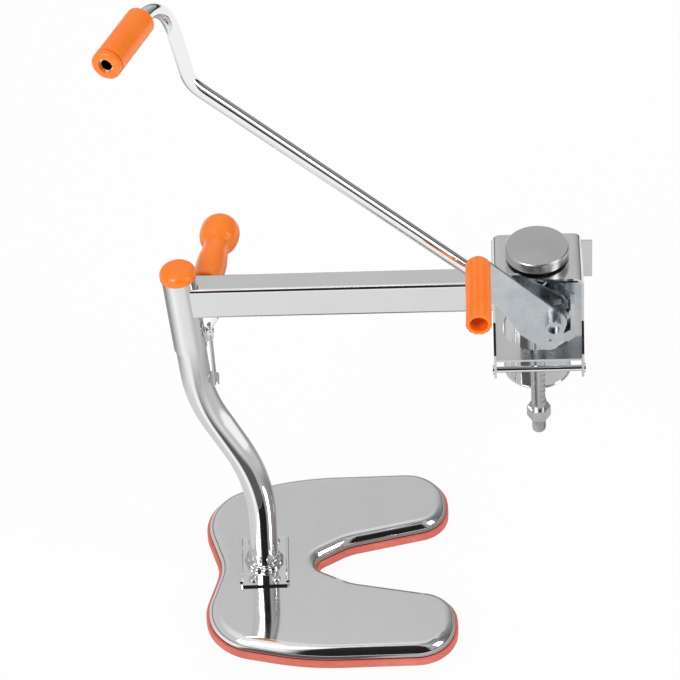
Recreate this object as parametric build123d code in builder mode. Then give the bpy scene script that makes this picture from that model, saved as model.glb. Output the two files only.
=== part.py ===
"""Table-top hand press for noodles: a ratchet lever drives a toothed rack down through a head.

Millimetres, +Z up. The origin is on the table, under the foot of the column. +X points along
the arm to the head, and -Y is the side the operator stands at.
"""

import math
import os

from build123d import *

os.makedirs("parts", exist_ok=True)


# ---------------------------------------------------------------- driving dimensions

# Base: a pressed steel cover with a rubber edge, shaped like a thick horseshoe
base_half_width = 143.0
base_toe = 213.5
toe_width = 88.5
heel_step = 33.0
base_corners = (
    (-49.5, 0.0, 60.0),
    (-81.0, base_half_width - heel_step, 62.0),
    (46.0, base_half_width, 300.0),
    (base_toe, base_half_width, 48.0),
    (base_toe, base_half_width - toe_width, 40.0),
    (97.0, 27.0, 60.0),
    (52.0, 0.0, 10.3),
)
base_height = 22.0
base_shoulder = 12.0
sheet = 2.0
strip_height = 9.0
strip_wall = 3.0
strip_lip = 9.0
strip_floor = 2.0
bottom_sheet = 1.5

# Foot plate and its fasteners
foot_width = 56.0
foot_length = 76.0
foot_plate_thickness = 3.0
foot_lip = 4.0
foot_screw_pitch_x = 26.0
foot_screw_pitch_y = 58.0
foot_screw_radius = 2.5
screw_head_radius = 4.6
screw_head_height = 2.8
backing_thickness = 4.0
weld_size = 5.0

# Column: a bent tube that carries a straight sleeve
tube_radius = 16.0
tube_wall = 2.0
sleeve_radius = 17.5
running_gap = 0.05
column_straight = 153.0
column_offset = 60.2
column_bend_height = 279.0
column_lean = 4.6
lower_bend_radius = 250.0
upper_bend_radius = 200.0
seam_height = column_bend_height + 72.0
spigot_clearance = 21.0
column_top = seam_height + 95.0
cap_radius = 19.0
cap_rise = 9.0
cap_rim = 3.0
cap_plug_length = 14.0

# Arm
arm_top = seam_height + 82.0
arm_height = 38.0
arm_width = 28.0
arm_wall = 1.8
arm_corner = 4.0

# How the arm sits on the sleeve, with all that it carries
arm_rise = 2.5
arm_swing = 3.5
arm_shift = 1.9
arm_lift = 4.2

# Head
rack_x = 292.0
head_width = 92.0
head_depth = 72.0
head_top = arm_top + 23.0
head_skirt = arm_top - 33.0
head_sheet = 2.5
head_bend = 9.0
rear_flange_width = 11.0
carrier_floor = arm_top - 71.0
carrier_front = 51.0
carrier_back = 86.0
carrier_hole_radius = 36.5

# Cross rod under the carrier's front edge
cross_rod_radius = 3.2
cross_rod_y = -45.0
cross_rod_z = arm_top - 89.0
ear_half_height = 7.0
ear_depth = 12.0
rod_end_cap = 1.5

# Barrel that stands behind the rack
barrel_radius = 35.0
barrel_wall = 2.0
barrel_y = 48.0
barrel_bottom = arm_top - 170.0
barrel_top = arm_top - 53.0

# Rack
rack_radius = 8.0
rack_bottom = arm_top - 183.0
rack_travel = 85.0
tooth_module = 2.4
rack_tooth_reach = 7.0
tooth_addendum = 2.0
tooth_dedendum = 3.0
tooth_backlash = 0.8
rack_teeth_low = arm_top - 171.0
rack_teeth_high = arm_top + 7.0
stud_radius = 6.5
stud_length = 21.0
nut_across_flats = 22.0
nut_height = 13.0
disc_radius = 32.0
disc_thickness = 12.0
disc_clearance = 0.5
disc_edge = 1.0
disc_spigot_radius = 5.0
disc_spigot_length = 8.0
bush_flange_radius = 14.0
bush_radius = 11.0
bush_flange = 2.5

# Pinion shaft and its bracket
pinion_teeth = 8
pinion_root_radius = 6.4
pinion_tip_tooth = 1.2
pinion_pitch_tooth = 2.4
pinion_root_tooth = 3.8
pinion_width = 18.0
shaft_z = arm_top - 5.0
shaft_radius = 6.0
bracket_half_depth = 30.0
bracket_plate = 3.0
bracket_low = arm_top - 30.0
bracket_high = arm_top + 13.0
bracket_left = 280.0
bracket_gap = 0.4
shaft_rear_end = 36.0
clip_radius = 9.0
clip_thickness = 1.2
clip_groove = 1.0

# Holding pawl, beside the pinion
hold_pin_setback = 11.5
hold_pin_z = arm_top - 16.0
hold_pin_radius = 2.5
hold_hub_radius = 5.0
hold_hub_length = 53.0
hold_pawl_width = 10.0
hold_pawl_thickness = 4.0
spring_thickness = 0.8
spring_width = 8.0

# Ratchet and lever channel, in front of the head
lever_front = 70.0
lever_back = 38.0
lever_sheet = 3.0
lever_hub_radius = 9.0
lever_hub_length = 10.0
hub_recess = 5.0
ratchet_radius = 16.0
ratchet_root = 13.0
ratchet_teeth = 12
ratchet_width = 8.0
pawl_pin_x = 302.0
pawl_pin_z = arm_top - 31.0
pawl_pin_radius = 3.0
pawl_hub_radius = 6.0
pawl_width = 18.0
pawl_thickness = 4.0
pawl_top_z = arm_top + 13.0
pawl_tip_angle = 25.0
pawl_gap = 0.4
lobe_radius = 10.0
handle_x = 233.0
handle_z = arm_top + 73.0
handle_end_radius = 9.0
far_end_x = 270.0
far_end_z = arm_top + 28.0
far_end_radius = 6.0
channel_low_x = 277.0
channel_low_z = arm_top - 18.0
channel_mid_x = 249.0
channel_mid_z = arm_top + 30.0
channel_corner = 4.0
web_start = 16.0
web_setback = 0.5

# Socket block that holds the lever tube between the flanges
socket_height = 20.0
socket_length = 26.0

# Long lever: a bent tube with a cranked handle
lever_tube_radius = 7.0
lever_tube_wall = 1.5
lever_start_x = 259.3
lever_start_z = arm_top + 21.0
lever_bend_x = -30.6
lever_bend_z = arm_top + 290.3
lever_top_x = -47.0
lever_top_z = arm_top + 391.2
handle_reach = 116.0
handle_turn = 19.8
lever_bend_radius = 38.0
lever_top_radius = 44.0
lever_grip_length = 74.0
lever_grip_radius = 14.0
lever_grip_setback = 2.5
grip_ring_length = 7.0
grip_ring_step = 1.2

# Short handle on the lever
short_stud_radius = 5.0
short_stud_length = 75.0
short_grip_length = 87.0
short_grip_radius = 12.5
short_grip_hole_radius = 9.0
short_grip_hole_depth = 16.0
short_grip_gap = 2.0
flute_radius = 1.2
flute_count = 12

# Rear grip, on the back of the arm
rear_grip_x = -50.0
rear_grip_turn = 6.0
rear_stud_radius = 6.0
rear_grip_neck_radius = 15.5
rear_grip_ball_radius = 21.0
rear_grip_length = 110.5
rear_grip_start = 5.0

# Draw latch between the sleeve and the bent tube
latch_z = seam_height + 27.0
latch_sheet = 1.5
latch_pin_radius = 1.5
latch_pin_out = 6.0
latch_pin_drop = 13.0
latch_ear_radius = 3.0
latch_ear_inner = 3.0
latch_lever_inner = 5.0
latch_wing_out = 10.0
latch_wing_rise = 17.0
link_arm = 8.0
link_over_centre = 0.5
link_wire_radius = 1.2
link_length = 72.0
link_spread = 9.0
link_bend = 2.5
catch_out = 19.5
catch_half_width = 6.0
catch_lip = 3.6


# ---------------------------------------------------------------- worked-out dimensions

foot_plate_bottom = base_height
foot_plate_top = foot_plate_bottom + foot_plate_thickness
strip_inner_edge = strip_wall + strip_lip
arm_bottom = arm_top - arm_height
arm_middle = arm_top - arm_height / 2
head_left = rack_x - head_width / 2
head_right = rack_x + head_width / 2
head_front = -head_depth / 2
head_back = head_depth / 2
bracket_right = head_right - head_sheet
hold_pin_x = bracket_right - hold_pin_setback

lean = math.radians(column_lean)
bend_corner = (-column_offset, column_bend_height)


def column_x(height):
    """X of the leaning axis of the column at a height."""
    return bend_corner[0] - math.tan(lean) * (height - bend_corner[1])


def column_point(height):
    return Vector(column_x(height), 0, height)


column_axis = Vector(-math.sin(lean), 0, math.cos(lean))


def column_plane(height):
    """Plane square to the leaning axis; its x direction points towards the head."""
    return Plane(column_point(height), x_dir=(math.cos(lean), 0, math.sin(lean)), z_dir=column_axis)


tooth_pitch = math.pi * tooth_module
pitch_radius = tooth_module * pinion_teeth / 2
rack_pitch_line = rack_x + rack_tooth_reach - tooth_addendum
shaft_x = rack_pitch_line + pitch_radius
pinion_tip_radius = pitch_radius + tooth_addendum
lever_middle = -(lever_front + lever_back) / 2
shaft_front_end = -(lever_front + lever_hub_length - hub_recess)
disc_bottom = head_top + bush_flange + disc_clearance


def side_plane(y):
    """Plane square to Y at a given y: sketch x is X and sketch y is Z, and it faces -Y."""
    return Plane((0, y, 0), x_dir=(1, 0, 0), z_dir=(0, -1, 0))


def turned_plane(x, z, y, angle):
    """A side plane whose origin is at x, z and whose x direction is turned up from +X by an angle."""
    return Plane((x, y, z), x_dir=(math.cos(angle), 0, math.sin(angle)), z_dir=(0, -1, 0))


arm_root = column_point(arm_middle)
arm_pose = (
    Location(arm_root + Vector(arm_shift, 0, arm_lift))
    * Location((0, 0, 0), column_axis, -arm_swing)
    * Location((0, 0, 0), (0, 1, 0), -arm_rise)
    * Location(arm_root * -1)
)

parts_written = []


def write(piece, name):
    piece.label = name
    export_step(piece, "parts/" + name + ".step")
    parts_written.append(name)


def write_on_arm(piece, name):
    """Write a piece that was drawn on a level arm, turned to the way the arm sits."""
    write(arm_pose * piece, name)


# ---------------------------------------------------------------- base


lower_corners = tuple((x, -y, radius) for x, y, radius in reversed(base_corners[1:-1]))
outline_corners = base_corners + lower_corners
with BuildSketch() as base_shape:
    with BuildLine():
        FilletPolyline(
            *[(x, y) for x, y, radius in outline_corners],
            radius=[radius for x, y, radius in outline_corners],
            close=True,
        )
    make_face()


def base_outline(inset):
    """The horseshoe drawn in by a distance, placed on the caller's sketch plane."""
    add(base_shape.sketch_local.face())
    if inset:
        offset(amount=-inset, mode=Mode.REPLACE)


with BuildPart() as base_hollow:
    with BuildSketch(Plane.XY.offset(strip_floor)):
        base_outline(strip_wall + sheet)
    extrude(amount=base_height - strip_floor - sheet)
    fillet(base_hollow.faces().sort_by(Axis.Z)[-1].edges(), base_shoulder - sheet)

with BuildPart() as base_cover:
    with BuildSketch(Plane.XY.offset(strip_floor)):
        base_outline(strip_wall)
    extrude(amount=base_height - strip_floor)
    fillet(base_cover.faces().sort_by(Axis.Z)[-1].edges(), base_shoulder)
    add(base_hollow.part, mode=Mode.SUBTRACT)
    with Locations((0, 0, base_height)):
        with GridLocations(foot_screw_pitch_x, foot_screw_pitch_y, 2, 2):
            Hole(foot_screw_radius, depth=2 * sheet)

with BuildPart() as base_bottom_plate:
    with BuildSketch(Plane.XY.offset(strip_floor)):
        base_outline(strip_wall + sheet)
    extrude(amount=bottom_sheet)

with BuildPart() as base_edge_strip:
    with BuildSketch():
        base_outline(0)
    extrude(amount=strip_height)
    with BuildSketch(Plane.XY.offset(strip_floor)):
        base_outline(strip_wall)
    extrude(amount=strip_height, mode=Mode.SUBTRACT)
    with BuildSketch():
        base_outline(strip_inner_edge)
    extrude(amount=strip_floor, mode=Mode.SUBTRACT)

write(base_cover.part, "base_cover")
write(base_bottom_plate.part, "base_bottom_plate")
write(base_edge_strip.part, "base_edge_strip")


# ---------------------------------------------------------------- foot plate and fasteners

with BuildPart() as foot_plate:
    with BuildSketch(Plane.XY.offset(foot_plate_bottom)):
        RectangleRounded(foot_width, foot_length, foot_lip)
    extrude(amount=foot_plate_thickness)
    for side in (-1, 1):
        rail_x = side * (foot_width / 2 - foot_lip / 2)
        with BuildSketch(Plane.XZ.offset(-foot_length / 2 + foot_lip)):
            with Locations((rail_x, foot_plate_top)):
                Circle(foot_lip / 2)
        extrude(amount=foot_length - 2 * foot_lip)
    with BuildSketch(Plane.XZ):
        with BuildLine():
            Polyline(
                (tube_radius, foot_plate_top),
                (tube_radius + weld_size, foot_plate_top),
                (tube_radius, foot_plate_top + weld_size),
                close=True,
            )
        make_face()
    revolve(axis=Axis.Z)
    with Locations((0, 0, foot_plate_top)):
        with GridLocations(foot_screw_pitch_x, foot_screw_pitch_y, 2, 2):
            Hole(foot_screw_radius, depth=foot_plate_thickness)
write(foot_plate.part, "foot_plate")

with BuildPart() as foot_backing_plate:
    with BuildSketch(Plane.XY.offset(base_height - sheet - backing_thickness)):
        RectangleRounded(foot_width, foot_length, foot_lip)
        with GridLocations(foot_screw_pitch_x, foot_screw_pitch_y, 2, 2):
            Circle(foot_screw_radius, mode=Mode.SUBTRACT)
    extrude(amount=backing_thickness)
write(foot_backing_plate.part, "foot_backing_plate")

foot_nut_height = 4.0
foot_nut_flats = 8.0
foot_nut_top = base_height - sheet - backing_thickness
with BuildPart() as foot_screws:
    with BuildSketch(Plane.XY.offset(foot_plate_top)):
        with GridLocations(foot_screw_pitch_x, foot_screw_pitch_y, 2, 2):
            Circle(screw_head_radius)
    extrude(amount=screw_head_height)
    fillet(foot_screws.faces().filter_by(Axis.Z).group_by(Axis.Z)[-1].edges(), 0.5 * screw_head_height)
    with BuildSketch(Plane.XY.offset(foot_nut_top - foot_nut_height)):
        with GridLocations(foot_screw_pitch_x, foot_screw_pitch_y, 2, 2):
            Circle(foot_screw_radius)
    extrude(amount=foot_plate_top - foot_nut_top + foot_nut_height)
write(foot_screws.part, "foot_screws")

with BuildPart() as foot_nuts:
    with BuildSketch(Plane.XY.offset(foot_nut_top - foot_nut_height)):
        with GridLocations(foot_screw_pitch_x, foot_screw_pitch_y, 2, 2):
            RegularPolygon(foot_nut_flats / 2, 6, major_radius=False)
            Circle(foot_screw_radius, mode=Mode.SUBTRACT)
    extrude(amount=foot_nut_height)
write(foot_nuts.part, "foot_nuts")


# ---------------------------------------------------------------- column

spigot_end = column_point(column_top - cap_plug_length - spigot_clearance)
with BuildPart() as lower_column:
    with BuildLine(Plane.XZ) as column_path:
        FilletPolyline(
            (0, foot_plate_top),
            (0, column_straight),
            (-column_offset, column_bend_height),
            (spigot_end.X, spigot_end.Z),
            radius=[lower_bend_radius, upper_bend_radius],
        )
    with BuildSketch(Plane.XY.offset(foot_plate_top)):
        Circle(tube_radius)
        Circle(tube_radius - tube_wall, mode=Mode.SUBTRACT)
    sweep(path=column_path.wires()[0])
write(lower_column.part, "lower_column")

sleeve_length = (column_top - seam_height) / math.cos(lean)
with BuildPart() as upper_column:
    with BuildSketch(column_plane(seam_height)):
        Circle(sleeve_radius)
        Circle(tube_radius + running_gap, mode=Mode.SUBTRACT)
    extrude(amount=sleeve_length)
write(upper_column.part, "upper_column")

with BuildPart() as column_cap:
    with BuildSketch(column_plane(column_top)):
        Circle(cap_radius)
    extrude(amount=cap_rim)
    with BuildSketch(column_plane(column_top).offset(cap_rim)):
        Circle(cap_radius)
    extrude(amount=cap_rise)
    fillet(column_cap.faces().sort_by(Axis.Z)[-1].edges(), 0.95 * cap_rise)
    with BuildSketch(column_plane(column_top)):
        Circle(tube_radius - running_gap)
    extrude(amount=-cap_plug_length)
write(column_cap.part, "column_cap")


# ---------------------------------------------------------------- arm

with BuildPart() as arm_block:
    with BuildSketch(Plane((column_x(arm_middle), 0, arm_middle), x_dir=(0, 1, 0), z_dir=(1, 0, 0))):
        RectangleRounded(arm_width, arm_height, arm_corner)
        RectangleRounded(
            arm_width - 2 * arm_wall, arm_height - 2 * arm_wall, arm_corner - arm_wall, mode=Mode.SUBTRACT
        )
    extrude(amount=head_left - column_x(arm_middle))
with BuildPart() as sleeve_envelope:
    with BuildSketch(column_plane(seam_height)):
        Circle(sleeve_radius)
    extrude(amount=sleeve_length + arm_height)
with BuildPart() as arm:
    add(arm_pose * arm_block.part)
    add(sleeve_envelope.part, mode=Mode.SUBTRACT)
write(arm.part.solids().sort_by(SortBy.VOLUME)[-1], "arm")


# ---------------------------------------------------------------- rear grip

rear_direction = Vector(math.sin(math.radians(rear_grip_turn)), math.cos(math.radians(rear_grip_turn)), 0)
rear_plane = Plane((rear_grip_x, arm_width / 2, arm_middle), x_dir=(0, 0, 1), z_dir=rear_direction)
rear_profile_plane = Plane(rear_plane.origin, x_dir=rear_direction, z_dir=rear_plane.y_dir)
ball_centre = rear_grip_length - rear_grip_ball_radius
with BuildPart() as rear_grip:
    with BuildSketch(rear_profile_plane):
        with BuildLine():
            Line((rear_grip_start, 0), (rear_grip_start, 0.9 * rear_grip_neck_radius))
            Spline(
                (rear_grip_start, 0.9 * rear_grip_neck_radius),
                (rear_grip_start + 6, 1.05 * rear_grip_neck_radius),
                (0.4 * rear_grip_length, rear_grip_neck_radius),
                (0.62 * rear_grip_length, 0.92 * rear_grip_neck_radius),
                (ball_centre, rear_grip_ball_radius),
                tangents=[(0, 1), (1, 0)],
            )
            RadiusArc((ball_centre, rear_grip_ball_radius), (rear_grip_length, 0), rear_grip_ball_radius)
            Line((rear_grip_length, 0), (rear_grip_start, 0))
        make_face()
    revolve(axis=Axis(rear_plane.origin, rear_direction))
    rear_stud_length = 0.6 * rear_grip_length
    with BuildSketch(rear_plane.offset(rear_grip_start)):
        Circle(rear_stud_radius)
    extrude(amount=rear_stud_length - rear_grip_start, mode=Mode.SUBTRACT)
write_on_arm(rear_grip.part, "rear_grip")

with BuildPart() as rear_grip_stud:
    with BuildSketch(rear_plane):
        Circle(rear_stud_radius)
    extrude(amount=rear_stud_length)
    with BuildSketch(side_plane(arm_width / 2)):
        with Locations((rear_grip_x, arm_middle)):
            Circle(4 * rear_stud_radius)
    extrude(amount=4 * rear_stud_radius, mode=Mode.SUBTRACT)
    with BuildSketch(Plane((0, arm_width / 2, 0), x_dir=(1, 0, 0), z_dir=(0, -1, 0))):
        with Locations((rear_grip_x, arm_middle)):
            Circle(rear_stud_radius + 2)
    extrude(amount=-1.5)
write_on_arm(rear_grip_stud.part, "rear_grip_stud")


# ---------------------------------------------------------------- head housing


def portal(half_width, top, bottom, bend):
    """Inverted U outline in the XZ plane, made inside the caller's sketch."""
    left = rack_x - half_width
    right = rack_x + half_width
    with BuildLine(mode=Mode.PRIVATE) as edge:
        FilletPolyline((left, bottom), (left, top), (right, top), (right, bottom), radius=bend)
        Line((right, bottom), (left, bottom))
    make_face(edge.edges())


with BuildPart() as head_housing:
    with BuildSketch(side_plane(head_back)):
        portal(head_width / 2, head_top, head_skirt, head_bend)
    extrude(amount=head_depth)
    with BuildSketch(side_plane(head_back)):
        portal(head_width / 2 - head_sheet, head_top - head_sheet, head_skirt, head_bend - head_sheet)
    extrude(amount=head_depth, mode=Mode.SUBTRACT)
    with BuildSketch(Plane.XY.offset(head_top)):
        with Locations((rack_x, 0)):
            Circle(bush_radius)
    extrude(amount=-2 * head_sheet, mode=Mode.SUBTRACT)
    flange_x = head_right + rear_flange_width / 2
    with BuildSketch(side_plane(head_back)):
        with Locations((flange_x, (head_top - head_bend + head_skirt) / 2)):
            Rectangle(rear_flange_width, head_top - head_bend - head_skirt)
    extrude(amount=head_sheet)
write_on_arm(head_housing.part, "head_housing")

with BuildPart() as rack_guide_bush:
    with BuildSketch(Plane.XY.offset(head_top)):
        with Locations((rack_x, 0)):
            Circle(bush_flange_radius)
    extrude(amount=bush_flange)
    with BuildSketch(Plane.XY.offset(head_top)):
        with Locations((rack_x, 0)):
            Circle(bush_radius)
    extrude(amount=-2 * head_sheet)
    with BuildSketch(Plane.XY.offset(head_top + bush_flange)):
        with Locations((rack_x, 0)):
            Circle(rack_radius + running_gap)
    extrude(amount=-4 * head_sheet, mode=Mode.SUBTRACT)
write_on_arm(rack_guide_bush.part, "rack_guide_bush")


# ---------------------------------------------------------------- barrel carrier and barrel

carrier_low = carrier_floor - head_sheet
carrier_length = carrier_front + carrier_back
carrier_middle_y = (carrier_back - carrier_front) / 2
with BuildPart() as barrel_carrier:
    with BuildSketch(Plane.XY.offset(carrier_low)):
        with Locations((rack_x, carrier_middle_y)):
            Rectangle(head_width, carrier_length)
        with Locations((rack_x, 0)):
            Circle(carrier_hole_radius, mode=Mode.SUBTRACT)
        with Locations((rack_x, barrel_y)):
            Circle(barrel_radius, mode=Mode.SUBTRACT)
    extrude(amount=head_sheet)
    for side in (-1, 1):
        wall_x = rack_x + side * (head_width - head_sheet) / 2
        with BuildSketch(Plane((wall_x, 0, 0), x_dir=(0, 1, 0), z_dir=(1, 0, 0))):
            with BuildLine():
                Polyline(
                    (-carrier_front, carrier_low),
                    (-carrier_front, carrier_floor + 6),
                    (head_front, head_skirt),
                    (head_back, head_skirt),
                    (carrier_back, carrier_floor + 6),
                    (carrier_back, carrier_low),
                    close=True,
                )
            make_face()
        extrude(amount=head_sheet / 2, both=True)
        ear_x = rack_x + side * (head_width - head_sheet) / 2
        with BuildSketch(Plane((ear_x, 0, 0), x_dir=(0, 1, 0), z_dir=(1, 0, 0))):
            with Locations((cross_rod_y, (carrier_low + cross_rod_z - ear_half_height) / 2)):
                Rectangle(ear_depth, carrier_low - cross_rod_z + ear_half_height)
            with Locations((cross_rod_y, cross_rod_z)):
                Circle(cross_rod_radius, mode=Mode.SUBTRACT)
        extrude(amount=head_sheet / 2, both=True)
write_on_arm(barrel_carrier.part, "barrel_carrier")

with BuildPart() as cross_rod:
    rod_plane = Plane((head_left - rod_end_cap, cross_rod_y, cross_rod_z), x_dir=(0, 1, 0), z_dir=(1, 0, 0))
    with BuildSketch(rod_plane):
        Circle(cross_rod_radius)
    extrude(amount=head_width + 2 * rod_end_cap)
    for cap_x in (head_left - rod_end_cap, head_right):
        with BuildSketch(Plane((cap_x, cross_rod_y, cross_rod_z), x_dir=(0, 1, 0), z_dir=(1, 0, 0))):
            Circle(cross_rod_radius + 1.8)
        extrude(amount=rod_end_cap)
write_on_arm(cross_rod.part, "cross_rod")

with BuildPart() as barrel:
    with BuildSketch(Plane.XY.offset(barrel_bottom)):
        with Locations((rack_x, barrel_y)):
            Circle(barrel_radius)
            Circle(barrel_radius - barrel_wall, mode=Mode.SUBTRACT)
    extrude(amount=barrel_top - barrel_bottom)
write_on_arm(barrel.part, "barrel")


# ---------------------------------------------------------------- rack

rack_top = disc_bottom
nut_bottom = rack_bottom - nut_height
tooth_slope = math.tan(math.radians(20))
space_at_pitch = (tooth_pitch + tooth_backlash) / 2
groove_tip_half = space_at_pitch / 2 + (tooth_addendum + 3) * tooth_slope
groove_root_half = space_at_pitch / 2 - tooth_dedendum * tooth_slope
groove_first = shaft_z - math.floor((shaft_z - rack_teeth_low) / tooth_pitch) * tooth_pitch
groove_count = int((rack_teeth_high - groove_first) / tooth_pitch) + 1

with BuildPart() as rack_rod:
    with BuildSketch(Plane.XY.offset(nut_bottom)):
        with Locations((rack_x, 0)):
            Circle(rack_radius)
    extrude(amount=rack_top - nut_bottom)
    with BuildSketch(Plane.XY.offset(nut_bottom)):
        with Locations((rack_x, 0)):
            Circle(stud_radius)
    extrude(amount=-stud_length)
    chamfer(rack_rod.faces().sort_by(Axis.Z)[0].edges(), 1.0)
    with BuildSketch(Plane.XY.offset(rack_top)):
        with Locations((rack_x, 0)):
            Circle(disc_spigot_radius)
    extrude(amount=disc_spigot_length)
    flat_x = rack_x + rack_tooth_reach
    with BuildSketch(side_plane(rack_radius)):
        with Locations((flat_x + rack_radius / 2, (groove_first + rack_teeth_high) / 2)):
            Rectangle(rack_radius, rack_teeth_high - groove_first + tooth_pitch)
    extrude(amount=2 * rack_radius, mode=Mode.SUBTRACT)
    with BuildSketch(side_plane(rack_radius)):
        with BuildLine():
            Polyline(
                (rack_pitch_line - tooth_dedendum, groove_first - groove_root_half),
                (rack_pitch_line + tooth_addendum + 3, groove_first - groove_tip_half),
                (rack_pitch_line + tooth_addendum + 3, groove_first + groove_tip_half),
                (rack_pitch_line - tooth_dedendum, groove_first + groove_root_half),
                close=True,
            )
        make_face()
    groove = extrude(amount=2 * rack_radius, mode=Mode.PRIVATE)
    for step in range(groove_count):
        add(Pos(0, 0, step * tooth_pitch) * groove, mode=Mode.SUBTRACT)
write_on_arm(rack_rod.part, "rack_rod")

with BuildPart() as rack_nut:
    with BuildSketch(Plane.XY.offset(nut_bottom)):
        with Locations((rack_x, 0)):
            RegularPolygon(nut_across_flats / 2, 6, major_radius=False)
            Circle(rack_radius, mode=Mode.SUBTRACT)
    extrude(amount=nut_height)
write_on_arm(rack_nut.part, "rack_nut")

with BuildPart() as rack_disc:
    with BuildSketch(Plane.XY.offset(disc_bottom)):
        with Locations((rack_x, 0)):
            Circle(disc_radius)
    extrude(amount=disc_thickness)
    chamfer(rack_disc.edges().filter_by(GeomType.CIRCLE), disc_edge)
    with BuildSketch(Plane.XY.offset(disc_bottom)):
        with Locations((rack_x, 0)):
            Circle(disc_spigot_radius)
    extrude(amount=disc_spigot_length, mode=Mode.SUBTRACT)
write_on_arm(rack_disc.part, "rack_disc")


# ---------------------------------------------------------------- pinion shaft and bracket

with BuildPart() as shaft_bracket:
    for y in (-bracket_half_depth, bracket_half_depth - bracket_plate):
        with BuildSketch(side_plane(y + bracket_plate)):
            with BuildLine():
                Polyline(
                    (bracket_right, bracket_low),
                    (bracket_right, bracket_high),
                    (shaft_x - 6, bracket_high),
                    (bracket_left + 6, shaft_z),
                    (bracket_left + 6, bracket_low),
                    close=True,
                )
            make_face()
            with Locations((shaft_x, shaft_z)):
                Circle(shaft_radius + running_gap, mode=Mode.SUBTRACT)
            with Locations((hold_pin_x, hold_pin_z)):
                Circle(hold_pin_radius, mode=Mode.SUBTRACT)
        extrude(amount=bracket_plate)
    with BuildSketch(Plane.XY.offset(bracket_low)):
        with Locations(((bracket_left - 6 + bracket_right) / 2, 0)):
            Rectangle(bracket_right - bracket_left + 6, 2 * bracket_half_depth)
        with Locations((rack_x, 0)):
            Circle(rack_radius + running_gap, mode=Mode.SUBTRACT)
    extrude(amount=bracket_plate)
    with BuildSketch(Plane((bracket_right, 0, 0), x_dir=(0, 1, 0), z_dir=(1, 0, 0))):
        with Locations((0, (bracket_low + bracket_high) / 2)):
            Rectangle(2 * bracket_half_depth, bracket_high - bracket_low)
    extrude(amount=-bracket_plate)
write_on_arm(shaft_bracket.part, "shaft_bracket")

with BuildPart() as pinion_shaft:
    with BuildSketch(side_plane(shaft_rear_end)):
        with Locations((shaft_x, shaft_z)):
            Circle(shaft_radius)
    extrude(amount=shaft_rear_end - shaft_front_end)
    clip_y = bracket_half_depth + bracket_gap
    with BuildSketch(side_plane(clip_y + clip_thickness)):
        with Locations((shaft_x, shaft_z)):
            Circle(shaft_radius)
            Circle(shaft_radius - clip_groove, mode=Mode.SUBTRACT)
    extrude(amount=clip_thickness, mode=Mode.SUBTRACT)
write_on_arm(pinion_shaft.part, "pinion_shaft")

with BuildPart() as shaft_clip:
    with BuildSketch(side_plane(clip_y + clip_thickness)):
        with Locations((shaft_x, shaft_z)):
            Circle(clip_radius)
            Circle(shaft_radius - clip_groove, mode=Mode.SUBTRACT)
        with Locations((shaft_x + clip_radius, shaft_z)):
            Rectangle(2 * clip_radius, 1.2 * (shaft_radius - clip_groove), mode=Mode.SUBTRACT)
    extrude(amount=clip_thickness)
write_on_arm(shaft_clip.part, "shaft_clip")

with BuildPart() as drive_pinion:
    with BuildSketch(side_plane(pinion_width / 2)):
        with Locations((shaft_x, shaft_z)):
            Circle(pinion_root_radius + 0.2)
            Circle(shaft_radius, mode=Mode.SUBTRACT)
    extrude(amount=pinion_width)
    for tooth in range(pinion_teeth):
        angle = 2 * math.pi * tooth / pinion_teeth
        with BuildSketch(turned_plane(shaft_x, shaft_z, pinion_width / 2, angle)):
            with BuildLine():
                Polyline(
                    (pinion_root_radius, -pinion_root_tooth / 2),
                    (pitch_radius, -pinion_pitch_tooth / 2),
                    (pinion_tip_radius, -pinion_tip_tooth / 2),
                    (pinion_tip_radius, pinion_tip_tooth / 2),
                    (pitch_radius, pinion_pitch_tooth / 2),
                    (pinion_root_radius, pinion_root_tooth / 2),
                    close=True,
                )
            make_face()
        extrude(amount=pinion_width)
write_on_arm(drive_pinion.part, "drive_pinion")

hold_aim = math.atan2(shaft_z - hold_pin_z, shaft_x - hold_pin_x)
hold_reach = math.hypot(shaft_x - hold_pin_x, shaft_z - hold_pin_z) - pinion_tip_radius - pawl_gap
with BuildPart() as holding_pawl:
    with BuildSketch(turned_plane(hold_pin_x, hold_pin_z, hold_hub_length / 2, hold_aim)):
        Circle(hold_hub_radius)
        Circle(hold_pin_radius + running_gap, mode=Mode.SUBTRACT)
    extrude(amount=hold_hub_length)
    with BuildSketch(turned_plane(hold_pin_x, hold_pin_z, hold_pawl_width / 2, hold_aim)):
        with Locations((hold_reach / 2, 0)):
            Rectangle(hold_reach, hold_pawl_thickness)
        Circle(hold_hub_radius - 1, mode=Mode.SUBTRACT)
    extrude(amount=hold_pawl_width)
write_on_arm(holding_pawl.part, "holding_pawl")

with BuildPart() as holding_pawl_pin:
    with BuildSketch(side_plane(bracket_half_depth + 1)):
        with Locations((hold_pin_x, hold_pin_z)):
            Circle(hold_pin_radius)
    extrude(amount=2 * bracket_half_depth + 2)
write_on_arm(holding_pawl_pin.part, "holding_pawl_pin")

spring_foot = Vector(bracket_right - bracket_plate, hold_pin_z + 16)
spring_tip = Vector(hold_pin_x + 0.2, hold_pin_z + hold_hub_radius + spring_thickness / 2 + 0.4)
with BuildPart() as holding_pawl_spring:
    with BuildSketch(side_plane(spring_width / 2)):
        with BuildLine():
            Polyline(
                (spring_foot.X, spring_foot.Y + 6),
                (spring_foot.X, spring_foot.Y - 2),
                (spring_tip.X, spring_tip.Y - spring_thickness / 2),
                (spring_tip.X, spring_tip.Y + spring_thickness / 2),
                (spring_foot.X - spring_thickness, spring_foot.Y),
                (spring_foot.X - spring_thickness, spring_foot.Y + 6),
                close=True,
            )
        make_face()
    extrude(amount=spring_width)
write_on_arm(holding_pawl_spring.part, "holding_pawl_spring")

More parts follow.
